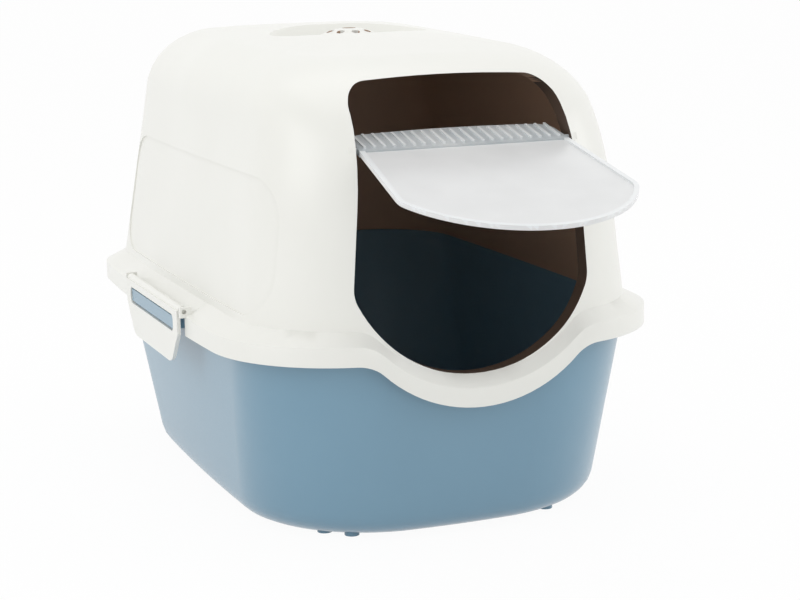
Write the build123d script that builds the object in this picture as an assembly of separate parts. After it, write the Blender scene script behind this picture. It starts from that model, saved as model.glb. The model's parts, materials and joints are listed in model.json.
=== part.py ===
from build123d import *
import math
import os

# A covered litter box. The floor is z = 0, the doorway faces -Y and x = 0 is the plane of symmetry.
# All sizes are in millimetres and all angles in degrees.

# Hood, the moulded cover, measured on its outside at HOOD_BASE.
HOOD_BASE = 150.0
HOOD_TOP = 388.0
HOOD_HALF_WIDTH = 169.0
HOOD_FRONT = -256.0
HOOD_REAR = 263.0
HOOD_SIDE_LEAN = 8.7
HOOD_FRONT_LEAN = 1.0
HOOD_REAR_LEAN = 8.5
HOOD_FRONT_BOW = 3.0
HOOD_SIDE_BOW = 4.0
HOOD_REAR_BOW = 6.0
HOOD_FRONT_CORNER = 100.0
HOOD_REAR_CORNER = 80.0
SIDE_SHOULDER = 58.0
FRONT_SHOULDER = 118.0
REAR_SHOULDER = 72.0
CROWN_RISE = 7.0
HOOD_WALL = 2.5
# The roof falls a little towards the front, in mm per mm, from this depth.
ROOF_FALL = 0.03
ROOF_FALL_FROM = 140.0
# Shares of the walls' lean by which the corners get tighter, and the largest share of the half-width.
FRONT_CORNER_SHARE = 0.6
REAR_CORNER_SHARE = 0.4
CORNER_LIMIT = 0.8

# Rim, the skirt of the hood that laps over the tray. Its lower edge dips below the doorway.
RIM_LEVEL = 150.0
RIM_DIP = 40.0
RIM_DIP_RADIUS = 115.0
RIM_DIP_BLEND = 30.0
SKIRT_HEIGHT = 18.0
SKIRT_OVERHANG = 10.0
SKIRT_SIDE_BULGE = 8.0
SKIRT_WALL = 2.5
LEDGE_THICKNESS = 2.5
RIM_CLEARANCE = 0.3
LIP_CLEARANCE = 0.6

# Doorway in the front of the hood.
DOOR_TOP = HOOD_TOP - 30.0
DOOR_TOP_RISE = 3.5
DOOR_TOP_HALF_WIDTH = 85.0
DOOR_LOW_HALF_WIDTH = 97.0
DOOR_LOW_LEVEL = RIM_LEVEL + 50.0
DOOR_SILL = RIM_LEVEL - 16.0
DOOR_TOP_CORNER = 22.0
DOOR_LOW_CORNER = 26.0
DOOR_LIP_WALL = 2.0
DOOR_LIP_DEPTH = 14.0

# Panel pressed into each side of the hood.
PANEL_DEPTH = 1.2
PANEL_TOP = HOOD_TOP - 103.0
PANEL_FRONT = -208.0
PANEL_REAR = 190.0
PANEL_CORNER = 34.0
PANEL_MARGIN = 12.0

# Grip recess and vent in the roof.
RECESS_LENGTH = 112.0
RECESS_WIDTH = 156.0
RECESS_CENTRE = 12.0
RECESS_FLOOR = HOOD_TOP - 12.0
RECESS_FLARE = 20.0
VENT_HUB_DIAMETER = 58.0
VENT_HUB_RISE = 8.0
VENT_HOLE_DIAMETER = 7.0
VENT_RING_DIAMETER = 34.0
VENT_RING_COUNT = 8
VENT_CENTRE_DIAMETER = 12.0

# Swing flap. FLAP_OPEN is how far the cover stands open as the part is drawn.
PIVOT_LEVEL = DOOR_TOP - 51.0
PIVOT_DEPTH = HOOD_FRONT + 24.0
FLAP_OPEN = 76.0
FLAP_CLEARANCE = 3.0
FLAP_THICKNESS = 2.2
FLAP_BEAD = 1.4
FLAP_BEAD_WIDTH = 4.0
RAIL_ABOVE = 31.0
RAIL_BELOW = 7.0
RAIL_THICKNESS = 5.0
RAIL_CORNER = 14.0
RAIL_TOP_RISE = 5.0
RAIL_RIB_PITCH = 8.0
RAIL_RIB_WIDTH = 2.0
RAIL_RIB_HEIGHT = 1.2
RAIL_RIB_MARGIN = 5.0
PIN_DIAMETER = 5.0
PIN_ROOT = 8.0
PIN_END_GAP = 1.0
PIN_CLEARANCE = 0.1
BOSS_DIAMETER = 11.0
BOSS_LENGTH = 5.0
BOSS_END_WALL = 1.0
BOSS_BORE_LEAD = 4.0

# Tray, the blue pan that holds the litter.
FOOT_HEIGHT = 3.0
TRAY_HALF_WIDTH = HOOD_HALF_WIDTH - 16.0
TRAY_FRONT = HOOD_FRONT + 25.0
TRAY_REAR = HOOD_REAR - 73.0
TRAY_FRONT_BOW = 14.0
TRAY_SIDE_BOW = 6.0
TRAY_REAR_BOW = 10.0
TRAY_FRONT_CORNER = 115.0
TRAY_REAR_CORNER = 85.0
TRAY_BOTTOM_ROUND = 18.0
TRAY_WALL = 2.8
TRAY_LIP_THICKNESS = 4.0
FOOT_DIAMETER = 12.0
FOOT_STEP = 16.8
FOOT_INSET_X = 52.0
FOOT_INSET_FRONT = 34.0
FOOT_INSET_REAR = 30.0
CENTRE_PAD_DIAMETER = 40.0
CATCH_CLEARANCE = 1.8
CATCH_SETBACK = 1.0

# Side clips, one each side, hung on the rim and snapped over a catch on the tray.
CLIP_REAR = 74.0
CLIP_FRONT = -92.0
CLIP_END_GAP = 3.0
CLIP_LOW = RIM_LEVEL - 26.0
CLIP_PROUD = 4.0
CLIP_OUTER = HOOD_HALF_WIDTH + SKIRT_OVERHANG + SKIRT_SIDE_BULGE + CLIP_PROUD
CLIP_THICKNESS = 3.0
CLIP_CORNER = 18.0
CLIP_TAPER = 22.0
CLIP_BARREL = 7.0
CLIP_BARREL_SETBACK = 1.0
CLIP_HINGE_RISE = 2.5
CLIP_HINGE_LEVEL = RIM_LEVEL + SKIRT_HEIGHT + CLIP_HINGE_RISE
CLIP_HINGE_OUT = CLIP_OUTER - CLIP_BARREL_SETBACK - CLIP_BARREL / 2
BARREL_CLEARANCE = 1.0
CLIP_PIN_DIAMETER = 3.6
CLIP_PIN_LENGTH = 3.5
EAR_THICKNESS = 4.0
NOTCH_DEPTH = 3.0
WINDOW_TOP = RIM_LEVEL + 15.0
WINDOW_HEIGHT = 14.0
WINDOW_END_MARGIN = 13.0
WINDOW_CORNER = 5.0

# Carbon filter under the vent, held by a slotted cover.
FILTER_LENGTH = 76.0
FILTER_WIDTH = 96.0
FILTER_HEIGHT = 8.0
FILTER_CORNER = 10.0
FILTER_CLEARANCE = 0.3
COVER_WALL = 1.8
COVER_CLEARANCE = 0.6
COVER_FLANGE = 6.0
COVER_SLOT_COUNT = 7
COVER_SLOT_WIDTH = 5.0
COVER_SLOT_MARGIN = 8.0

# Reach past a surface for anything that cuts through it, and how far a form is rooted in its neighbour.
PAST = 40.0
SMALL_PAST = 5.0
ROOT = 4.0
SMALL_ROOT = 0.5
# Two heights closer than this are the same.
SAME = 0.01

# Angles at which the round shoulders and the tray's round bottom edge are stepped, and crown shares.
FRONT_STEPS = (0, 8, 16, 24, 32, 40)
SIDE_STEPS = (0, 12, 24, 35, 46, 56, 65, 73)
CROWN_STEPS = (0.86, 0.7, 0.5, 0.25, 0.06)
BOTTOM_STEPS = (0, 20, 38, 54, 70, 90)


def outline(half_width, front, rear, bows, radii, level):
    """Return a level outline with bowed edges and rounded corners, as a face."""
    front_bow, side_bow, rear_bow = bows
    front_radius, rear_radius = radii
    x = half_width - side_bow
    y_front = front + front_bow
    y_rear = rear - rear_bow
    middle = (front + rear) / 2
    edges = Curve() + [
        ThreePointArc((-x, y_front), (0, front), (x, y_front)),
        ThreePointArc((x, y_front), (half_width, middle), (x, y_rear)),
        ThreePointArc((x, y_rear), (0, rear), (-x, y_rear)),
        ThreePointArc((-x, y_rear), (-half_width, middle), (-x, y_front)),
    ]
    face = make_face(edges)
    face = fillet(face.vertices().sort_by(Axis.Y)[:2], front_radius)
    face = fillet(face.vertices().sort_by(Axis.Y)[-2:], rear_radius)
    return Pos(0, 0, level) * face


def shoulder(level, top, radius):
    """Return how far a quarter-round shoulder that ends at top has come in at this level."""
    rise = max(0.0, level - (top - radius))
    return radius - math.sqrt(max(0.0, radius**2 - rise**2))


def lean(level, top, radius, angle):
    """Return how far a leaning wall has come in at this level, below its shoulder."""
    return math.tan(math.radians(angle)) * (min(level, top - radius) - HOOD_BASE)


def hood_outline(level, inset):
    """Return half-width, front, rear and corner radii of the hood at a level."""
    top = HOOD_TOP - CROWN_RISE - inset
    side = SIDE_SHOULDER - inset
    front = FRONT_SHOULDER - inset
    rear = REAR_SHOULDER - inset
    side_in = lean(level, top, side, HOOD_SIDE_LEAN) + shoulder(level, top, side)
    front_in = lean(level, top, front, HOOD_FRONT_LEAN) + shoulder(level, top, front)
    rear_in = lean(level, top, rear, HOOD_REAR_LEAN) + shoulder(level, top, rear)
    half_width = HOOD_HALF_WIDTH - inset - side_in
    radius_front = min(HOOD_FRONT_CORNER - inset - side_in * FRONT_CORNER_SHARE, half_width * CORNER_LIMIT)
    radius_rear = min(HOOD_REAR_CORNER - inset - side_in * REAR_CORNER_SHARE, half_width * CORNER_LIMIT)
    return half_width, HOOD_FRONT + inset + front_in, HOOD_REAR - inset - rear_in, radius_front, radius_rear


def tipped(face, level):
    """Return a level outline of the hood tipped towards the front, the more the nearer to the roof."""
    start = HOOD_TOP - CROWN_RISE - SIDE_SHOULDER
    share = max(0.0, (level - start) / (HOOD_TOP - start))
    angle = math.degrees(math.atan(ROOF_FALL * share))
    return face.rotate(Axis((0, ROOF_FALL_FROM, level), (1, 0, 0)), angle)


def hood_form(inset):
    """Return the solid form of the hood, drawn in by inset on every side."""
    top = HOOD_TOP - CROWN_RISE - inset
    levels = [RIM_LEVEL - RIM_DIP - 2 * SMALL_PAST]
    side_start = top - SIDE_SHOULDER + inset
    radius = FRONT_SHOULDER - inset
    for angle in FRONT_STEPS:
        level = top - radius + radius * math.sin(math.radians(angle))
        if level < side_start - ROOT / 2:
            levels.append(level)
    radius = SIDE_SHOULDER - inset
    levels += [side_start + radius * math.sin(math.radians(angle)) for angle in SIDE_STEPS]
    crown_start = levels[-1]
    bows = (HOOD_FRONT_BOW, HOOD_SIDE_BOW, HOOD_REAR_BOW)
    sections = []
    for level in levels:
        half_width, front, rear, r_front, r_rear = hood_outline(level, inset)
        sections.append(tipped(outline(half_width, front, rear, bows, (r_front, r_rear), level), level))
    middle = (front + rear) / 2
    rise = HOOD_TOP - inset - crown_start
    for share in CROWN_STEPS:
        level = crown_start + rise * (1 - share**2)
        crown = outline(
            half_width * share,
            middle + (front - middle) * share,
            middle + (rear - middle) * share,
            [bow * share for bow in bows],
            (r_front * share, r_rear * share),
            level,
        )
        sections.append(tipped(crown, level))
    return loft(sections, ruled=True)


def tray_form(inset):
    """Return the solid form of the tray, drawn in by inset on every side."""
    base = FOOT_HEIGHT + inset
    top = RIM_LEVEL + SKIRT_HEIGHT + SMALL_PAST
    radius = TRAY_BOTTOM_ROUND - inset
    levels = [base + radius * (1 - math.cos(math.radians(angle))) for angle in BOTTOM_STEPS] + [top]
    low_sizes = (TRAY_HALF_WIDTH, TRAY_FRONT, TRAY_REAR, TRAY_FRONT_CORNER, TRAY_REAR_CORNER)
    top_sizes = (HOOD_HALF_WIDTH, HOOD_FRONT, HOOD_REAR, HOOD_FRONT_CORNER, HOOD_REAR_CORNER)
    low_bows = (TRAY_FRONT_BOW, TRAY_SIDE_BOW, TRAY_REAR_BOW)
    top_bows = (HOOD_FRONT_BOW, HOOD_SIDE_BOW, HOOD_REAR_BOW)
    sections = []
    for level in levels:
        part = (level - FOOT_HEIGHT) / (top - FOOT_HEIGHT)
        drop = max(0.0, base + radius - level)
        total = inset + radius - math.sqrt(max(0.0, radius**2 - drop**2))
        width, front, rear, r_front, r_rear = [a + (b - a) * part for a, b in zip(low_sizes, top_sizes)]
        bows = [a + (b - a) * part for a, b in zip(low_bows, top_bows)]
        radii = (r_front - total, r_rear - total)
        sections.append(outline(width - total, front + total, rear - total, bows, radii, level))
    return loft(sections, ruled=True)


def under_rim(raised):
    """Return everything below the rim's lower edge line, raised by a height."""
    reach = HOOD_HALF_WIDTH + PAST
    low = RIM_LEVEL - RIM_DIP - PAST
    level = RIM_LEVEL + raised
    face = Pos(0, (low + level) / 2) * Rectangle(2 * reach, level - low)
    face -= Pos(0, level - RIM_DIP + RIM_DIP_RADIUS) * Circle(RIM_DIP_RADIUS)
    corners = [v for v in face.vertices() if abs(v.Y - level) < SAME and abs(v.X) < reach - SAME]
    face = fillet(corners, RIM_DIP_BLEND)
    length = HOOD_REAR - HOOD_FRONT + 2 * PAST
    wave = extrude(Plane.XZ * face, length / 2)
    back = Pos(0, length / 4, (low + level) / 2) * Box(2 * reach, length / 2, level - low)
    base = Pos(0, 0, low - PAST) * Box(2 * reach, 2 * length, 2 * PAST)
    return wave + back + base


def rim_prism(overhang):
    """Return an upright prism that stands outside the hood's wall by the overhang."""
    low = RIM_LEVEL - RIM_DIP - PAST
    bows = (HOOD_FRONT_BOW, HOOD_SIDE_BOW + SKIRT_SIDE_BULGE, HOOD_REAR_BOW)
    face = outline(
        HOOD_HALF_WIDTH + overhang + SKIRT_SIDE_BULGE,
        HOOD_FRONT - overhang,
        HOOD_REAR + overhang,
        bows,
        (HOOD_FRONT_CORNER + overhang, HOOD_REAR_CORNER + overhang),
        low,
    )
    return extrude(face, RIM_LEVEL + SKIRT_HEIGHT + PAST - low)


def door_half_width(level):
    """Return the half-width of the doorway between its two leaning sides at a level."""
    share = (level - DOOR_LOW_LEVEL) / (DOOR_TOP - DOOR_TOP_RISE - DOOR_LOW_LEVEL)
    return DOOR_LOW_HALF_WIDTH + (DOOR_TOP_HALF_WIDTH - DOOR_LOW_HALF_WIDTH) * share


def doorway(inset, top=DOOR_TOP, rise=DOOR_TOP_RISE, corner=DOOR_TOP_CORNER):
    """Return the doorway's outline drawn in by inset, as a face in x and z."""
    wide = DOOR_LOW_HALF_WIDTH - inset
    narrow = door_half_width(top - rise) - inset
    high = top - rise - inset
    edges = Curve() + [
        ThreePointArc((-wide, DOOR_LOW_LEVEL), (0, DOOR_SILL + inset), (wide, DOOR_LOW_LEVEL)),
        Line((wide, DOOR_LOW_LEVEL), (narrow, high)),
        ThreePointArc((narrow, high), (0, top - inset), (-narrow, high)),
        Line((-narrow, high), (-wide, DOOR_LOW_LEVEL)),
    ]
    face = make_face(edges)
    face = fillet(face.vertices().sort_by(Axis.Y)[-2:], corner - inset)
    lower = [v for v in face.vertices() if abs(v.Y - DOOR_LOW_LEVEL) < SAME]
    return fillet(lower, DOOR_LOW_CORNER - inset)


def through_front(face):
    """Return a prism that carries a face in x and z through the front of the hood."""
    return extrude(Plane.XZ.offset(-HOOD_FRONT + PAST) * face, -(PAST + FRONT_SHOULDER))


def x_rod(diameter, x_from, x_to, y, z):
    """Return a round rod along x."""
    turned = Rot(0, 90, 0) * Cylinder(diameter / 2, abs(x_to - x_from))
    return Pos((x_from + x_to) / 2, y, z) * turned


def y_rod(diameter, y_from, y_to, x, z):
    """Return a round rod along y."""
    turned = Rot(90, 0, 0) * Cylinder(diameter / 2, abs(y_to - y_from))
    return Pos(x, (y_from + y_to) / 2, z) * turned


def block(x_from, x_to, y_from, y_to, z_from, z_to):
    """Return a box between two corners."""
    size = Box(abs(x_to - x_from), abs(y_to - y_from), abs(z_to - z_from))
    return Pos((x_from + x_to) / 2, (y_from + y_to) / 2, (z_from + z_to) / 2) * size


def recess_form(grown):
    """Return the bowl of the roof's grip recess, grown by a wall."""
    floor = RECESS_FLOOR - grown
    top = HOOD_TOP + ROOT
    low = Pos(0, RECESS_CENTRE, floor) * Ellipse(
        (RECESS_WIDTH - RECESS_FLARE) / 2 + grown, (RECESS_LENGTH - RECESS_FLARE) / 2 + grown
    )
    high = Pos(0, RECESS_CENTRE, top) * Ellipse(RECESS_WIDTH / 2 + grown, RECESS_LENGTH / 2 + grown)
    return loft([low, high])


def side_panels(outer):
    """Return the thin layer taken off each side of the hood for its pressed panel."""
    low = RIM_LEVEL + SKIRT_HEIGHT + PANEL_MARGIN
    face = Pos((PANEL_FRONT + PANEL_REAR) / 2, (low + PANEL_TOP) / 2) * RectangleRounded(
        PANEL_REAR - PANEL_FRONT, PANEL_TOP - low, PANEL_CORNER
    )
    layer = outer - hood_form(PANEL_DEPTH)
    reach = HOOD_HALF_WIDTH + PAST
    prism = extrude(Plane.YZ.offset(-reach) * face, 2 * reach)
    return layer & prism


def vent_holes():
    """Return the ring of round vent holes and the one in the middle."""
    depth = HOOD_TOP - RECESS_FLOOR + PAST
    holes = Pos(0, RECESS_CENTRE, RECESS_FLOOR) * Cylinder(VENT_CENTRE_DIAMETER / 2, depth)
    for spot in PolarLocations(VENT_RING_DIAMETER / 2, VENT_RING_COUNT):
        holes += Pos(0, RECESS_CENTRE, RECESS_FLOOR) * spot * Cylinder(VENT_HOLE_DIAMETER / 2, depth)
    return holes


def vent_hub(level):
    """Return the domed hub of the vent, standing on a level."""
    radius = VENT_HUB_DIAMETER / 2
    ball = (radius**2 + VENT_HUB_RISE**2) / (2 * VENT_HUB_RISE)
    dome = Pos(0, RECESS_CENTRE, level + VENT_HUB_RISE - ball) * Sphere(ball)
    return dome & (Pos(0, RECESS_CENTRE, level + VENT_HUB_RISE / 2) * Cylinder(radius, VENT_HUB_RISE))


def hood():
    """Return the hood with its rim, doorway, pivots, roof recess and clip ears."""
    outer = hood_form(0)
    inner = hood_form(HOOD_WALL)
    ledge_under = under_rim(SKIRT_HEIGHT - LEDGE_THICKNESS)
    skirt = (rim_prism(SKIRT_OVERHANG) & under_rim(SKIRT_HEIGHT)) - under_rim(0)
    skirt -= rim_prism(SKIRT_OVERHANG - SKIRT_WALL) & ledge_under
    body = (outer - ledge_under) - side_panels(outer)
    body = body - recess_form(0)
    hollow = inner - recess_form(HOOD_WALL)
    shell = (body + skirt) - hollow + vent_hub(RECESS_FLOOR) - vent_hub(RECESS_FLOOR - HOOD_WALL)
    ring = doorway(-DOOR_LIP_WALL) - doorway(0)
    lip = through_front(ring) & (outer - hood_form(DOOR_LIP_DEPTH))
    lip -= under_rim(SKIRT_HEIGHT - LEDGE_THICKNESS)
    shell = shell + lip - through_front(doorway(0))
    half = door_half_width(PIVOT_LEVEL)
    for side in (-1, 1):
        shell += x_rod(BOSS_DIAMETER, side * half, side * (half + BOSS_LENGTH), PIVOT_DEPTH, PIVOT_LEVEL)
        hole = PIN_DIAMETER + 2 * PIN_CLEARANCE
        blind = half + BOSS_LENGTH - BOSS_END_WALL
        shell -= x_rod(hole, side * (half - BOSS_BORE_LEAD), side * blind, PIVOT_DEPTH, PIVOT_LEVEL)
        shell = clip_seat(shell, side)
    return shell - vent_holes()


def clip_seat(shell, side):
    """Return the hood with the notch and the two ears for one side clip."""
    front = CLIP_FRONT - CLIP_END_GAP
    rear = CLIP_REAR + CLIP_END_GAP
    low = RIM_LEVEL - SMALL_PAST
    top = RIM_LEVEL + SKIRT_HEIGHT
    ledge = top - LEDGE_THICKNESS
    past = CLIP_OUTER + PAST
    edge = CLIP_HINGE_OUT - CLIP_BARREL / 2 - BARREL_CLEARANCE
    shell -= block(side * edge, side * past, front, rear, low, top + SMALL_PAST)
    shell -= block(side * (HOOD_HALF_WIDTH + NOTCH_DEPTH), side * past, front, rear, low, ledge)
    hole = CLIP_PIN_DIAMETER + 2 * PIN_CLEARANCE
    bore_reach = EAR_THICKNESS + SMALL_ROOT
    inside = HOOD_HALF_WIDTH + SKIRT_OVERHANG + SKIRT_SIDE_BULGE - SKIRT_WALL - ROOT
    outside = CLIP_HINGE_OUT + CLIP_BARREL / 2
    ear_top = CLIP_HINGE_LEVEL + CLIP_BARREL / 2
    for y, outward in ((front, -1), (rear, 1)):
        shell += block(side * inside, side * outside, y, y + outward * EAR_THICKNESS, ledge, ear_top)
        shell -= y_rod(hole, y - bore_reach, y + bore_reach, side * CLIP_HINGE_OUT, CLIP_HINGE_LEVEL)
    return shell


def tray():
    """Return the tray with its lip, feet and the two catches."""
    top = SKIRT_HEIGHT - LEDGE_THICKNESS - RIM_CLEARANCE
    line = under_rim(top)
    shell = tray_form(0) & line
    lip = rim_prism(SKIRT_OVERHANG - SKIRT_WALL - LIP_CLEARANCE) & line
    lip -= under_rim(top - TRAY_LIP_THICKNESS)
    catch_front = CLIP_FRONT + WINDOW_END_MARGIN + CATCH_CLEARANCE
    catch_rear = CLIP_REAR - WINDOW_END_MARGIN - CATCH_CLEARANCE
    catch_low = WINDOW_TOP - WINDOW_HEIGHT + CATCH_CLEARANCE
    for side in (-1, 1):
        inside = side * (HOOD_HALF_WIDTH - ROOT)
        outside = side * (CLIP_OUTER - CATCH_SETBACK)
        lip += block(inside, outside, catch_front, catch_rear, catch_low, WINDOW_TOP - CATCH_CLEARANCE)
    shell = shell + lip - tray_form(TRAY_WALL)
    for y, inset in ((TRAY_FRONT, FOOT_INSET_FRONT), (TRAY_REAR, -FOOT_INSET_REAR)):
        for side in (-1, 1):
            for step in (0, 1):
                x = side * (TRAY_HALF_WIDTH - FOOT_INSET_X - step * FOOT_STEP)
                away = y + inset + (1 - step) * math.copysign(FOOT_STEP, inset)
                shell += pad(FOOT_DIAMETER, x, away)
    return shell + pad(CENTRE_PAD_DIAMETER, 0, 0)


def pad(diameter, x, y):
    """Return one round pad under the tray, rooted in its floor."""
    height = FOOT_HEIGHT + 2 * SMALL_ROOT
    return Pos(x, y, height / 2) * Cylinder(diameter / 2, height)


def opened(shape):
    """Return a flap piece, drawn closed, turned out to where it stands open."""
    pivot = Axis((0, PIVOT_DEPTH, PIVOT_LEVEL), (1, 0, 0))
    return shape.rotate(pivot, -FLAP_OPEN)


def flap_outline(inset):
    """Return the closed flap's outline, drawn in by inset, as a face in x and z."""
    top = PIVOT_LEVEL + RAIL_ABOVE + FLAP_CLEARANCE
    return doorway(FLAP_CLEARANCE + inset, top, RAIL_TOP_RISE, RAIL_CORNER + FLAP_CLEARANCE)


def flat_plate(face, near, far):
    """Return a plate between two depths, measured inwards from the pivot plane."""
    return extrude(Plane.XZ.offset(-(PIVOT_DEPTH + near)) * face, -(far - near))


def flap_panel():
    """Return the clear panel with the raised bead round its edge."""
    half = FLAP_THICKNESS / 2
    plate = flat_plate(flap_outline(0), -half, half)
    bead = flap_outline(0) - flap_outline(FLAP_BEAD_WIDTH)
    plate += flat_plate(bead, -half - FLAP_BEAD, -half)
    reach = DOOR_LOW_HALF_WIDTH + PAST
    low = PIVOT_LEVEL - RAIL_BELOW
    high = PIVOT_LEVEL + RAIL_ABOVE + PAST
    plate -= block(-reach, reach, PIVOT_DEPTH - PAST, PIVOT_DEPTH + PAST, low, high)
    return opened(plate)


def flap_rail():
    """Return the ribbed rail along the top of the flap, with its two pivot pins."""
    half = RAIL_THICKNESS / 2
    face = flap_outline(0)
    low = PIVOT_LEVEL - RAIL_BELOW
    face -= Pos(0, low / 2) * Rectangle(2 * (DOOR_LOW_HALF_WIDTH + PAST), low)
    rail = flat_plate(face, -half, half)
    width = door_half_width(PIVOT_LEVEL) - FLAP_CLEARANCE
    count = int((2 * (width - RAIL_RIB_MARGIN)) / RAIL_RIB_PITCH)
    for step in range(count + 1):
        x = (step - count / 2) * RAIL_RIB_PITCH
        rib = block(
            x - RAIL_RIB_WIDTH / 2, x + RAIL_RIB_WIDTH / 2,
            PIVOT_DEPTH - half - RAIL_RIB_HEIGHT, PIVOT_DEPTH - half + SMALL_ROOT,
            low + RAIL_RIB_MARGIN, PIVOT_LEVEL + RAIL_ABOVE - RAIL_RIB_MARGIN,
        )
        rail += rib
    end = door_half_width(PIVOT_LEVEL) + BOSS_LENGTH - BOSS_END_WALL - PIN_END_GAP
    for side in (-1, 1):
        rail += x_rod(PIN_DIAMETER, side * (width - PIN_ROOT), side * end, PIVOT_DEPTH, PIVOT_LEVEL)
    return opened(rail)


def clip(side):
    """Return one side clip, with its window, hinge barrel and pins."""
    low = WINDOW_TOP - WINDOW_HEIGHT
    plate_face = make_face(
        Polyline(
            (CLIP_FRONT, CLIP_HINGE_LEVEL), (CLIP_REAR, CLIP_HINGE_LEVEL), (CLIP_REAR, low),
            (CLIP_REAR - CLIP_TAPER, CLIP_LOW), (CLIP_FRONT + CLIP_TAPER, CLIP_LOW), (CLIP_FRONT, low),
            close=True,
        )
    )
    plate_face = fillet(plate_face.vertices().sort_by(Axis.Y)[:2], CLIP_CORNER)
    window = Pos((CLIP_FRONT + CLIP_REAR) / 2, (WINDOW_TOP + low) / 2) * RectangleRounded(
        CLIP_REAR - CLIP_FRONT - 2 * WINDOW_END_MARGIN, WINDOW_HEIGHT, WINDOW_CORNER
    )
    face = plate_face - window
    plate = extrude(Plane.YZ.offset(CLIP_OUTER - CLIP_THICKNESS) * face, CLIP_THICKNESS)
    plate += y_rod(CLIP_BARREL, CLIP_FRONT, CLIP_REAR, CLIP_HINGE_OUT, CLIP_HINGE_LEVEL)
    pin_front = CLIP_FRONT - CLIP_PIN_LENGTH
    pin_rear = CLIP_REAR + CLIP_PIN_LENGTH
    plate += y_rod(CLIP_PIN_DIAMETER, pin_front, pin_rear, CLIP_HINGE_OUT, CLIP_HINGE_LEVEL)
    return plate if side > 0 else mirror(plate, Plane.YZ)


def filter_face(grown):
    """Return the filter's rounded outline, grown by a margin."""
    return Pos(0, RECESS_CENTRE) * RectangleRounded(
        FILTER_WIDTH + 2 * grown, FILTER_LENGTH + 2 * grown, FILTER_CORNER + grown
    )


def carbon_filter():
    """Return the carbon pad that lies against the underside of the vent."""
    top = RECESS_FLOOR - HOOD_WALL - FILTER_CLEARANCE
    return extrude(Pos(0, 0, top - FILTER_HEIGHT) * filter_face(0), FILTER_HEIGHT)


def filter_cover():
    """Return the slotted cover that holds the carbon pad."""
    top = RECESS_FLOOR - HOOD_WALL
    depth = FILTER_HEIGHT + 2 * FILTER_CLEARANCE + COVER_WALL
    cover = extrude(Pos(0, 0, top - depth) * filter_face(COVER_CLEARANCE + COVER_WALL), depth)
    cover += extrude(Pos(0, 0, top - COVER_WALL) * filter_face(COVER_FLANGE), COVER_WALL)
    cover -= extrude(Pos(0, 0, top - depth + COVER_WALL) * filter_face(COVER_CLEARANCE), depth)
    pitch = (FILTER_WIDTH - 2 * COVER_SLOT_MARGIN) / COVER_SLOT_COUNT
    for step in range(COVER_SLOT_COUNT):
        x = (step - (COVER_SLOT_COUNT - 1) / 2) * pitch
        slot = Pos(x, RECESS_CENTRE, top - depth) * SlotOverall(
            FILTER_LENGTH - 2 * COVER_SLOT_MARGIN, COVER_SLOT_WIDTH, rotation=90
        )
        cover -= extrude(slot, COVER_WALL, both=True)
    return cover


def main():
    """Write every piece to its own file."""
    os.makedirs("parts", exist_ok=True)
    pieces = {
        "tray": tray(),
        "hood": hood(),
        "flap_panel": flap_panel(),
        "flap_rail": flap_rail(),
        "clip_left": clip(-1),
        "clip_right": clip(1),
        "carbon_filter": carbon_filter(),
        "filter_cover": filter_cover(),
    }
    for name, piece in pieces.items():
        export_step(piece, f"parts/{name}.step")


main()
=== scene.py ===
"""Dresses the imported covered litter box: welded shells, finishes, studio light and camera."""
import json
import logging
import math
from dataclasses import dataclass, field
from enum import Enum, IntEnum

import bmesh
import bpy
from mathutils import Matrix, Vector
from mathutils.bvhtree import BVHTree

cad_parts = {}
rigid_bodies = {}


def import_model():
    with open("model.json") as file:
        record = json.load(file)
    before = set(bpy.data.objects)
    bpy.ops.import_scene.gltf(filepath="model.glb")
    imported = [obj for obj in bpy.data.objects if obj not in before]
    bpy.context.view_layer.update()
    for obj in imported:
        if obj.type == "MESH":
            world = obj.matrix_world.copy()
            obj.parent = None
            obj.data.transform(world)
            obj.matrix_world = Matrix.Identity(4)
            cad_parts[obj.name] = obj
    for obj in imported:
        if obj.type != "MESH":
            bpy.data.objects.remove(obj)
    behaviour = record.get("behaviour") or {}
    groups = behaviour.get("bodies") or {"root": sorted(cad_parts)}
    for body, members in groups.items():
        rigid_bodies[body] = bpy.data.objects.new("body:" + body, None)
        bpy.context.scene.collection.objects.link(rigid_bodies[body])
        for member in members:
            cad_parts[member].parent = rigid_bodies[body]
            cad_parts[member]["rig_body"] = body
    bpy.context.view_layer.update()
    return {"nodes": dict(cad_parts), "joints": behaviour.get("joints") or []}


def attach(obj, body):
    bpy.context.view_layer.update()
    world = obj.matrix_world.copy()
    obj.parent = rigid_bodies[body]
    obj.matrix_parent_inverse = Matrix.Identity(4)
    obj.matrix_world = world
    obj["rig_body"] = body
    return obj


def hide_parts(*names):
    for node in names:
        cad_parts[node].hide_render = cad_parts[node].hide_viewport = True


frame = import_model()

LOG = logging.getLogger("litter_box")
MM = 0.001
WELD = 0.01 * MM
POLYPROPYLENE_IOR = 1.49
WHITE = (1, 1, 1, 1)
UP = Vector((0, 0, 1))


class Side(Enum):
    """The two mirrored sides of the box."""

    LEFT = "left"
    RIGHT = "right"


class HoodFace(IntEnum):
    """The finishes of the hood's faces, by their place in its list of materials."""

    OUTSIDE = 0
    # The inner face and the lip carry painted shade, not the plastic's own colour.
    INNER_SHADE = 1
    LIP_SHADE = 2


class FlapFace(IntEnum):
    """The finishes of the flap's and the rail's faces, by their place in the list of materials."""

    PLAIN = 0
    # Pale faces carry a painted highlight as well as the thick plastic's paler tone.
    PALE_HIGHLIGHT = 1


def linear(code: str) -> tuple[float, float, float, float]:
    """Turn an sRGB hex colour into the linear colour that a shader socket takes.

    Args:
        code: Colour such as "#ecece6".

    Returns:
        Red, green and blue, linear, and an alpha of 1.
    """
    parts = [int(code[i:i + 2], 16) / 255 for i in (1, 3, 5)]
    red, green, blue = [v / 12.92 if v <= 0.04045 else ((v + 0.055) / 1.055) ** 2.4 for v in parts]
    return red, green, blue, 1.0


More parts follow.
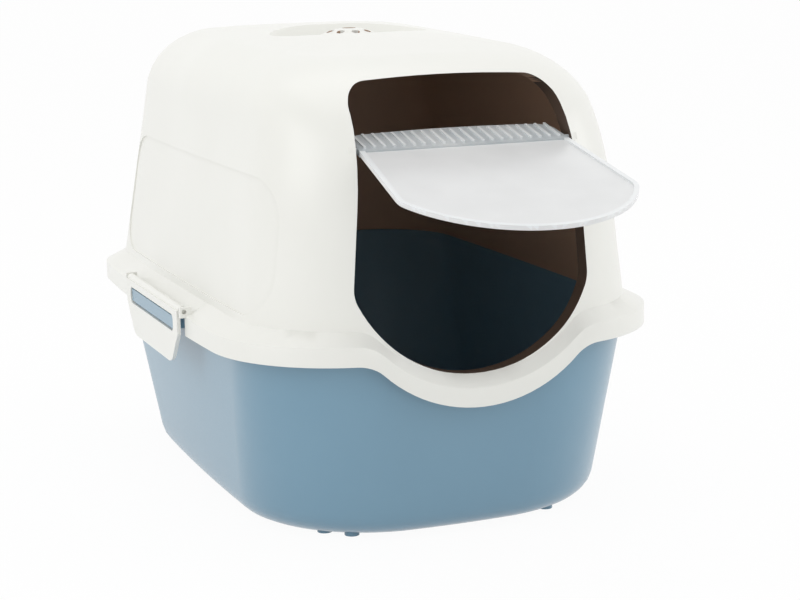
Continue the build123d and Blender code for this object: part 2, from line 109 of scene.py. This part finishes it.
def add_node(
    tree: bpy.types.NodeTree, kind: str, settings: dict | None = None, links: dict | None = None
) -> bpy.types.Node:
    """Add one shader node with its settings, socket values and links.

    Args:
        tree: Node tree to add to.
        kind: Blender's node type name.
        settings: Attribute names, or input socket names or numbers, and their values.
        links: Input socket names or numbers and the output sockets that feed them.

    Returns:
        The new node.
    """
    node = tree.nodes.new(kind)
    for key, value in (settings or {}).items():
        if isinstance(key, str) and hasattr(node, key):
            setattr(node, key, value)
        else:
            node.inputs[key].default_value = value
    for key, source in (links or {}).items():
        tree.links.new(source, node.inputs[key])
    return node


def add_background_switch(tree: bpy.types.NodeTree) -> bpy.types.NodeSocket:
    """Add the switch that tells rays that show the background from rays that only light the box.

    Args:
        tree: Node tree to add to.

    Returns:
        A socket that is 1 for camera, glossy and transmission rays, and 0 for the rest.
    """
    path = add_node(tree, "ShaderNodeLightPath").outputs
    shown = path["Is Camera Ray"]
    for ray in ("Is Glossy Ray", "Is Transmission Ray"):
        either = add_node(tree, "ShaderNodeMath", {"operation": "MAXIMUM"}, {0: shown, 1: path[ray]})
        shown = either.outputs[0]
    return shown


def new_material(name: str) -> bpy.types.Material:
    """Make an empty node material.

    Args:
        name: The material's name.

    Returns:
        The material, with no nodes.
    """
    material = bpy.data.materials.new(name)
    material.use_nodes = True
    material.node_tree.nodes.clear()
    return material


@dataclass(frozen=True)
class MouldedPlastic:
    """Injection-moulded polypropylene: an even colour, a fine spark-eroded grain and a soft sheen.

    The grain is 1.6 mm across, coarser than the real 0.3 mm, so that it shows at this distance.
    """

    name: str
    colour: str
    shade: str
    roughness: float = 0.34
    sheen_change: float = 0.05
    grain_mm: float = 1.6
    grain_detail: float = 2.0
    grain_height_mm: float = 0.03
    grain_strength: float = 0.35
    mottle_mm: float = 90.0
    mottle_detail: float = 3.0
    coat: float = 0.12
    coat_roughness: float = 0.2
    glow: float = 0.05
    glow_depth: float = 0.004
    glow_scale: float = 0.5

    def build(self) -> bpy.types.Material:
        """Build the material's nodes.

        Returns:
            The finished material.
        """
        material = new_material(self.name)
        tree = material.node_tree
        place = add_node(tree, "ShaderNodeTexCoord").outputs["Object"]
        mottle = add_node(
            tree, "ShaderNodeTexNoise",
            {"Scale": 1 / (self.mottle_mm * MM), "Detail": self.mottle_detail},
            {"Vector": place},
        )
        tone = add_node(
            tree, "ShaderNodeMix",
            {"data_type": "RGBA", 6: linear(self.colour), 7: linear(self.shade)},
            {0: mottle.outputs["Fac"]},
        )
        grain = add_node(
            tree, "ShaderNodeTexNoise",
            {"Scale": 1 / (self.grain_mm * MM), "Detail": self.grain_detail},
            {"Vector": place},
        )
        rough = add_node(
            tree, "ShaderNodeMapRange",
            {"From Min": 0.0, "From Max": 1.0, "To Min": self.roughness - self.sheen_change,
             "To Max": self.roughness + self.sheen_change},
            {"Value": grain.outputs["Fac"]},
        )
        bump = add_node(
            tree, "ShaderNodeBump",
            {"Strength": self.grain_strength, "Distance": self.grain_height_mm * MM},
            {"Height": grain.outputs["Fac"]},
        )
        shader = add_node(
            tree, "ShaderNodeBsdfPrincipled",
            {"IOR": POLYPROPYLENE_IOR, "Coat Weight": self.coat, "Coat Roughness": self.coat_roughness,
             "Subsurface Weight": self.glow, "Subsurface Radius": (self.glow_depth,) * 3,
             "Subsurface Scale": self.glow_scale},
            {"Base Color": tone.outputs[2], "Roughness": rough.outputs["Result"],
             "Normal": bump.outputs["Normal"]},
        )
        add_node(tree, "ShaderNodeOutputMaterial", links={"Surface": shader.outputs["BSDF"]})
        return material


@dataclass(frozen=True)
class FrostedPlastic:
    """Natural polypropylene sheet: milky, lets light through but blurs what is behind it."""

    name: str
    colour: str
    clearness: float
    cloud: str = "#f4f5f5"
    roughness: float = 0.3
    ripple_mm: float = 38.0
    ripple_detail: float = 2.0
    ripple_height_mm: float = 0.5
    ripple_strength: float = 0.25
    coat: float = 0.25
    coat_roughness: float = 0.15

    def build(self) -> bpy.types.Material:
        """Build the material's nodes.

        Returns:
            The finished material.
        """
        material = new_material(self.name)
        tree = material.node_tree
        place = add_node(tree, "ShaderNodeTexCoord").outputs["Object"]
        ripple = add_node(
            tree, "ShaderNodeTexNoise",
            {"Scale": 1 / (self.ripple_mm * MM), "Detail": self.ripple_detail},
            {"Vector": place},
        )
        tone = add_node(
            tree, "ShaderNodeMix",
            {"data_type": "RGBA", 6: linear(self.colour), 7: linear(self.cloud)},
            {0: ripple.outputs["Fac"]},
        )
        bump = add_node(
            tree, "ShaderNodeBump",
            {"Strength": self.ripple_strength, "Distance": self.ripple_height_mm * MM},
            {"Height": ripple.outputs["Fac"]},
        )
        shader = add_node(
            tree, "ShaderNodeBsdfPrincipled",
            {"IOR": POLYPROPYLENE_IOR, "Roughness": self.roughness, "Transmission Weight": self.clearness,
             "Coat Weight": self.coat, "Coat Roughness": self.coat_roughness},
            {"Base Color": tone.outputs[2], "Normal": bump.outputs["Normal"]},
        )
        add_node(tree, "ShaderNodeOutputMaterial", links={"Surface": shader.outputs["BSDF"]})
        return material


@dataclass(frozen=True)
class CarbonFoam:
    """Open-cell foam soaked in activated carbon: matte black, pitted with 2 mm cells, with painted shade in
    the pits.
    """

    name: str = "activated carbon foam"
    # The pits are painted darker than the ridges: painted shade in the cells.
    pit_shade: str = "#0d0d0d"
    ridge: str = "#2b2b2a"
    roughness: float = 0.95
    cell_mm: float = 2.0
    cell_depth_mm: float = 0.8
    cell_strength: float = 0.9

    def build(self) -> bpy.types.Material:
        """Build the material's nodes.

        Returns:
            The finished material.
        """
        material = new_material(self.name)
        tree = material.node_tree
        place = add_node(tree, "ShaderNodeTexCoord").outputs["Object"]
        cells = add_node(
            tree, "ShaderNodeTexVoronoi", {"Scale": 1 / (self.cell_mm * MM)}, {"Vector": place}
        )
        # Darker towards the cells' middles, where the bump is lowest: painted shade.
        tone = add_node(
            tree, "ShaderNodeMix",
            {"data_type": "RGBA", 6: linear(self.pit_shade), 7: linear(self.ridge)},
            {0: cells.outputs["Distance"]},
        )
        bump = add_node(
            tree, "ShaderNodeBump",
            {"Strength": self.cell_strength, "Distance": self.cell_depth_mm * MM},
            {"Height": cells.outputs["Distance"]},
        )
        shader = add_node(
            tree, "ShaderNodeBsdfPrincipled",
            {"Roughness": self.roughness},
            {"Base Color": tone.outputs[2], "Normal": bump.outputs["Normal"]},
        )
        add_node(tree, "ShaderNodeOutputMaterial", links={"Surface": shader.outputs["BSDF"]})
        return material


@dataclass
class Finishes:
    """Every finish on the box, built once and shared by the pieces."""

    # Off-white polypropylene, spark-eroded mould: warm white, even, with a broad soft sheen.
    hood: bpy.types.Material = field(default_factory=MouldedPlastic(
        "polypropylene off-white moulded", "#edede8", "#e8e8e2").build)
    # The same plastic on the inner face, matt. Its umber is painted shade: it stands for the deep shade
    # that the inner face lies in.
    inside: bpy.types.Material = field(default_factory=MouldedPlastic(
        "polypropylene inner face painted shade", "#ccab92", "#c09f87", roughness=0.6, coat=0.0, glow=0.0).build)
    # Painted shade on the lip round the doorway: the light reaches the lip, so its umber is written darker.
    lip: bpy.types.Material = field(default_factory=MouldedPlastic(
        "polypropylene doorway lip painted shade", "#54443a", "#4c3d33", roughness=0.5, coat=0.0, glow=0.0).build)
    # Blue polypropylene from a smoother mould: a clearer reflection than the hood's.
    tray: bpy.types.Material = field(default_factory=MouldedPlastic(
        "polypropylene dove blue moulded", "#769bb0", "#7095ab", roughness=0.33, coat=0.45).build)
    # Natural polypropylene sheet: milky, it passes light and blurs what is behind it.
    sheet: bpy.types.Material = field(default_factory=FrostedPlastic(
        "polypropylene frosted sheet", "#e6e7e7", 0.16).build)
    # The rail's plastic is bluish, and its blue-grey is partly painted shade for the dark inside seen
    # through it. It passes a little more light than the sheet.
    rail: bpy.types.Material = field(default_factory=FrostedPlastic(
        "polypropylene frosted bluish with painted shade", "#b0bcc2", 0.22, ripple_height_mm=0.1).build)
    # Ribs and bead: paler where the plastic is thick, and partly a painted highlight on their edges. They
    # pass less light.
    ridge: bpy.types.Material = field(default_factory=FrostedPlastic(
        "polypropylene frosted ridge with painted highlight", "#eef2f4", 0.1, ripple_height_mm=0.1).build)
    # Black open-cell foam: it gives almost no sheen, so the vent holes above it look black.
    foam: bpy.types.Material = field(default_factory=CarbonFoam().build)


@dataclass
class Welded:
    """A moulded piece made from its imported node: welded, shaded smooth, with its sharp edges marked.

    The edges are rounded over too, but overlap is clamped. On these meshes that leaves far less than
    edge_mm, which is the most that it may be.
    """

    node: str
    piece: str
    slot: str
    sharp_angle: float = 28.0
    rounding_margin: float = 12.0
    edge_mm: float = 0.7
    edge_steps: int = 2

    def mesh(self) -> bpy.types.Mesh:
        """Weld a copy of the node's loose triangles.

        Returns:
            A closed mesh with its sharp edges marked.
        """
        form = bmesh.new()
        form.from_mesh(frame["nodes"][self.node].data)
        bmesh.ops.remove_doubles(form, verts=form.verts, dist=WELD)
        bmesh.ops.dissolve_degenerate(form, dist=WELD, edges=form.edges)
        limit = math.radians(self.sharp_angle)
        for face in form.faces:
            face.smooth = True
            face.material_index = 0
        for edge in form.edges:
            edge.smooth = edge.is_manifold and edge.calc_face_angle(0.0) < limit
        mesh = bpy.data.meshes.new(self.piece)
        form.to_mesh(mesh)
        form.free()
        mesh.materials.clear()
        return mesh

    def round_edges(self, piece: bpy.types.Object) -> None:
        """Round the piece's sharp edges over, as far as its faces leave room.

        Args:
            piece: The piece to finish.
        """
        rounding = piece.modifiers.new("edges", "BEVEL")
        rounding.width = self.edge_mm * MM
        rounding.segments = self.edge_steps
        rounding.limit_method = "ANGLE"
        rounding.angle_limit = math.radians(self.sharp_angle + self.rounding_margin)
        rounding.use_clamp_overlap = True
        rounding.harden_normals = True

    def build(self, *materials: bpy.types.Material) -> bpy.types.Object:
        """Make the piece, dress it and let it ride where its node rides.

        Args:
            materials: The finishes for the mesh's material numbers.

        Returns:
            The finished object.
        """
        mesh = self.mesh()
        for material in materials:
            mesh.materials.append(material)
        piece = bpy.data.objects.new(self.piece, mesh)
        bpy.context.scene.collection.objects.link(piece)
        self.round_edges(piece)
        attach(piece, frame["nodes"][self.node]["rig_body"])
        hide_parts(self.node)
        LOG.info("%s stands for %s with %d faces", self.piece, self.node, len(mesh.polygons))
        return piece


@dataclass
class Hood:
    """The off-white cover, with painted shade on its inner face and doorway lip, and its flared rim.
    Lengths are in metres.
    """

    shell: Welded = field(default_factory=lambda: Welded("hood", "hood_shell", "hood_plastic"))
    # Sight lines start this far off a face and run to the middle of the cabin.
    skin: float = 0.0004
    cabin_middle: tuple[float, float, float] = (0.0, 0.0, 0.25)
    # The lip lies in front of this Y, within this half width, and its faces look neither forwards nor back.
    lip_inner: float = -0.19
    lip_half_width: float = 0.105
    lip_lean: float = 0.45
    # The rim's flat top lies between these levels. Slopes are shares of a face's normal along Z.
    ledge_low: float = 0.12
    ledge_high: float = 0.1685
    level_share: float = 0.5
    upright_share: float = 0.3
    # How far the flare lifts the top's root and drops its outer edge, except at the side clips' ears.
    flare_rise: float = 0.0065
    flare_drop: float = 0.003
    ear_x: float = 0.175
    ear_y: tuple[float, float] = (-0.105, 0.09)

    def looks_inside(self, face: bmesh.types.BMFace, tree: BVHTree) -> bool:
        """Tell whether a face of the hood looks into the cabin.

        Args:
            face: A face of the hood's mesh.
            tree: The hood's mesh, for sight lines.

        Returns:
            True where nothing of the hood stands between the face and the middle of the cabin.
        """
        start = face.calc_center_median() + face.normal * self.skin
        way = Vector(self.cabin_middle) - start
        return way.dot(face.normal) > 0 and tree.ray_cast(start, way.normalized(), way.length)[0] is None

    def paint(self, form: bmesh.types.BMesh) -> None:
        """Give each face its finish: outside, the painted shade of the inner face, or the darker painted
        shade of the lip round the doorway.

        Args:
            form: The hood's mesh.
        """
        tree = BVHTree.FromBMesh(form)
        for face in form.faces:
            middle = face.calc_center_median()
            on_lip = middle.y < self.lip_inner and abs(middle.x) < self.lip_half_width
            if not self.looks_inside(face, tree):
                face.material_index = HoodFace.OUTSIDE
            elif on_lip and abs(face.normal.y) < self.lip_lean:
                face.material_index = HoodFace.LIP_SHADE
            else:
                face.material_index = HoodFace.INNER_SHADE

    def is_ledge(self, face: bmesh.types.BMFace) -> bool:
        """Tell whether a face lies on the rim's flat top.

        Args:
            face: A face of the painted mesh.

        Returns:
            True for an outer face at the rim's level that looks up.
        """
        at_rim = self.ledge_low < face.calc_center_median().z < self.ledge_high
        return face.material_index == HoodFace.OUTSIDE and face.normal.z > self.level_share and at_rim

    def is_near_ear(self, place: Vector) -> bool:
        """Tell whether a point lies at the ears of a side clip, where the rim stays flat."""
        return abs(place.x) > self.ear_x and self.ear_y[0] < place.y < self.ear_y[1]

    def flare(self, form: bmesh.types.BMesh) -> None:
        """Slope the rim's flat top, so that the wall runs out into the rim as in a moulding.

        The ledge's root moves up the wall, and its outer edge moves down the skirt.

        Args:
            form: The painted mesh.
        """
        ledge = {face for face in form.faces if self.is_ledge(face)}
        moves = {}
        for edge in form.edges:
            level = [face for face in edge.link_faces if face in ledge]
            wall = [
                face for face in edge.link_faces
                if face not in ledge and abs(face.normal.z) < self.upright_share
            ]
            if not level or not wall:
                continue
            normal = wall[0].normal
            is_root = normal.dot(level[0].calc_center_median() - edge.verts[0].co) > 0
            along_wall = (UP - normal * normal.z).normalized()
            edge.smooth = True
            for vert in edge.verts:
                if not self.is_near_ear(vert.co):
                    moves[vert] = along_wall * (self.flare_rise if is_root else -self.flare_drop)
        for vert, move in moves.items():
            vert.co += move
        LOG.info("the rim's flare moved %d points", len(moves))

    def build(self, finishes: Finishes) -> None:
        """Make the hood, paint shade on its inner face and doorway lip, and flare its rim.

        Args:
            finishes: The box's finishes.
        """
        piece = self.shell.build(finishes.hood, finishes.inside, finishes.lip)
        form = bmesh.new()
        form.from_mesh(piece.data)
        form.normal_update()
        self.paint(form)
        self.flare(form)
        form.to_mesh(piece.data)
        form.free()


@dataclass
class Tray:
    """The blue pan."""

    shell: Welded = field(default_factory=lambda: Welded("tray", "tray_shell", "tray_plastic"))

    def build(self, finishes: Finishes) -> None:
        """Make the tray in its blue finish.

        Args:
            finishes: The box's finishes.
        """
        self.shell.build(finishes.tray)


@dataclass
class SwingFlap:
    """The frosted panel with its pale bead, partly a painted highlight, and the ribbed rail that it hangs
    from.

    Both are drawn open by open_degrees. Their faces' distances from the pivot plane are in metres.
    """

    panel: Welded = field(
        default_factory=lambda: Welded("flap_panel", "flap_sheet", "clear_plastic", edge_mm=0.5))
    rail: Welded = field(
        default_factory=lambda: Welded("flap_rail", "flap_top_rail", "rail_plastic", edge_mm=0.3))
    joint: str = "flap_swing"
    open_degrees: float = 76.0
    rail_face: float = 0.0025
    panel_face: float = 0.0011
    slack: float = 0.0002

    def raise_pale(self, piece: bpy.types.Object, level: float) -> None:
        """Give the pale finish, which is partly a painted highlight, to whatever stands proud of a face of
        the flap.

        Args:
            piece: The panel or the rail.
            level: The face's distance in front of the pivot plane.
        """
        pivot = next(joint["pos_m"] for joint in frame["joints"] if joint["name"] == self.joint)
        turn = math.radians(self.open_degrees)
        outward = Vector((0, -math.cos(turn), math.sin(turn)))
        start = outward.dot(Vector(pivot)) + level + self.slack
        for face in piece.data.polygons:
            face.material_index = FlapFace.PALE_HIGHLIGHT if outward.dot(face.center) > start else FlapFace.PLAIN

    def build(self, finishes: Finishes) -> None:
        """Make the panel and the rail.

        Args:
            finishes: The box's finishes.
        """
        self.raise_pale(self.panel.build(finishes.sheet, finishes.ridge), self.panel_face)
        self.raise_pale(self.rail.build(finishes.rail, finishes.ridge), self.rail_face)


@dataclass
class SideClip:
    """One side clip, in the hood's plastic."""

    side: Side
    edge_mm: float = 0.8

    def build(self, finishes: Finishes) -> None:
        """Make the clip.

        Args:
            finishes: The box's finishes.
        """
        name = self.side.value
        plate = Welded(f"clip_{name}", f"{name}_clip_plate", "hood_plastic", edge_mm=self.edge_mm)
        plate.build(finishes.hood)


@dataclass
class Filter:
    """The carbon pad and its slotted cover under the vent."""

    pad: Welded = field(
        default_factory=lambda: Welded(
            "carbon_filter", "carbon_pad", "carbon_foam", edge_mm=1.5, edge_steps=3))
    cover: Welded = field(
        default_factory=lambda: Welded("filter_cover", "filter_tray", "hood_plastic", edge_mm=0.3))

    def build(self, finishes: Finishes) -> None:
        """Make the pad, and the cover in the painted shade of the hood's inner face.

        Args:
            finishes: The box's finishes.
        """
        self.pad.build(finishes.foam)
        self.cover.build(finishes.inside)


@dataclass(frozen=True)
class SoftLamp:
    """A square soft lamp that looks at the box, in metres and watts."""

    name: str
    place: tuple[float, float, float]
    power: float
    width: float
    aim: tuple[float, float, float] = (0.0, 0.0, 0.2)

    def build(self) -> None:
        """Hang the lamp and turn it to the box."""
        light = bpy.data.lights.new(self.name, "AREA")
        light.energy = self.power
        light.size = self.width
        lamp = bpy.data.objects.new(self.name, light)
        lamp.location = self.place
        way = Vector(self.aim) - Vector(self.place)
        lamp.rotation_euler = way.to_track_quat("-Z", "Y").to_euler()
        bpy.context.scene.collection.objects.link(lamp)


@dataclass
class Studio:
    """The pale floor, the soft lamps and the camera at the photograph's viewing angle.

    Angles are in degrees and lengths in metres, but for the lens.
    """

    azimuth: float = -21.45
    elevation: float = 11.1
    roll: float = -1.13
    distance: float = 1.732
    target: tuple[float, float, float] = (0.0377, 0.0, 0.1427)
    focal_pixels: float = 1948.5
    frame_width: int = 800
    sensor_mm: float = 36.0
    far_limit: float = 50.0
    floor_size: float = 80.0
    floor_paper: str = "#f4f4f4"
    floor_white_share: float = 0.95
    soft_light: float = 0.8
    background_white: float = 1.0
    lamps: tuple[SoftLamp, ...] = (
        SoftLamp("key", (-2.1, -0.5, 1.2), power=9.5, width=1.4),
        SoftLamp("fill", (2.0, -0.6, 0.9), power=7.0, width=1.2),
        SoftLamp("front", (0.3, -2.6, 0.5), power=2.4, width=0.8),
        SoftLamp("top", (0.0, 0.4, 2.2), power=7.0, width=1.6),
    )

    def camera(self) -> None:
        """Place the camera and make it the scene's own."""
        a, e, roll = (math.radians(v) for v in (self.azimuth, self.elevation, self.roll))
        back = Vector((math.sin(a) * math.cos(e), -math.cos(a) * math.cos(e), math.sin(e)))
        right = Vector((math.cos(a), math.sin(a), 0))
        up = right.cross(-back)
        turned_right = math.cos(roll) * right + math.sin(roll) * up
        turned_up = math.cos(roll) * up - math.sin(roll) * right
        lens = bpy.data.cameras.new("camera")
        lens.sensor_width = self.sensor_mm
        lens.lens = self.sensor_mm * self.focal_pixels / self.frame_width
        lens.clip_end = self.far_limit
        camera = bpy.data.objects.new("camera", lens)
        turn = Matrix((turned_right, turned_up, back)).transposed().to_4x4()
        camera.matrix_world = Matrix.Translation(Vector(self.target) + back * self.distance) @ turn
        bpy.context.scene.collection.objects.link(camera)
        bpy.context.scene.camera = camera

    def floor_material(self) -> bpy.types.Material:
        """Build the floor's finish: matt paper, mostly under plain white, which leaves a faint shadow.

        Returns:
            The finished material.
        """
        material = new_material("matt white studio paper")
        tree = material.node_tree
        paper = add_node(tree, "ShaderNodeBsdfDiffuse", {"Color": linear(self.floor_paper)})
        white = add_node(
            tree, "ShaderNodeEmission", {"Color": WHITE, "Strength": self.background_white}
        )
        share = add_node(
            tree, "ShaderNodeMath",
            {"operation": "MULTIPLY", 1: self.floor_white_share},
            {0: add_background_switch(tree)},
        )
        mixed = add_node(
            tree, "ShaderNodeMixShader",
            links={0: share.outputs[0], 1: paper.outputs[0], 2: white.outputs[0]},
        )
        add_node(tree, "ShaderNodeOutputMaterial", links={"Surface": mixed.outputs[0]})
        return material

    def floor(self) -> None:
        """Lay the pale floor, which isn't part of the box."""
        form = bmesh.new()
        bmesh.ops.create_grid(form, x_segments=1, y_segments=1, size=self.floor_size / 2)
        mesh = bpy.data.meshes.new("floor")
        form.to_mesh(mesh)
        form.free()
        mesh.materials.append(self.floor_material())
        floor = bpy.data.objects.new("floor", mesh)
        bpy.context.scene.collection.objects.link(floor)

    def world(self) -> None:
        """Surround the scene with soft light, and with white wherever the background shows."""
        world = bpy.data.worlds.new("studio")
        world.use_nodes = True
        world.node_tree.nodes.clear()
        tree = world.node_tree
        soft = add_node(tree, "ShaderNodeBackground", {"Color": WHITE, "Strength": self.soft_light})
        white = add_node(tree, "ShaderNodeBackground", {"Color": WHITE, "Strength": self.background_white})
        mixed = add_node(
            tree, "ShaderNodeMixShader",
            links={0: add_background_switch(tree), 1: soft.outputs[0], 2: white.outputs[0]},
        )
        add_node(tree, "ShaderNodeOutputWorld", links={"Surface": mixed.outputs[0]})
        bpy.context.scene.world = world

    def build(self) -> None:
        """Set up the camera, the floor and the light."""
        self.camera()
        self.floor()
        self.world()
        for lamp in self.lamps:
            lamp.build()
        bpy.context.scene.view_settings.view_transform = "Standard"


def main() -> None:
    """Build the studio and every sub-assembly in order."""
    logging.basicConfig(level=logging.INFO)
    Studio().build()
    finishes = Finishes()
    for part in (Hood(), Tray(), SwingFlap(), SideClip(Side.LEFT), SideClip(Side.RIGHT), Filter()):
        part.build(finishes)


if __name__ == "__main__":
    main()
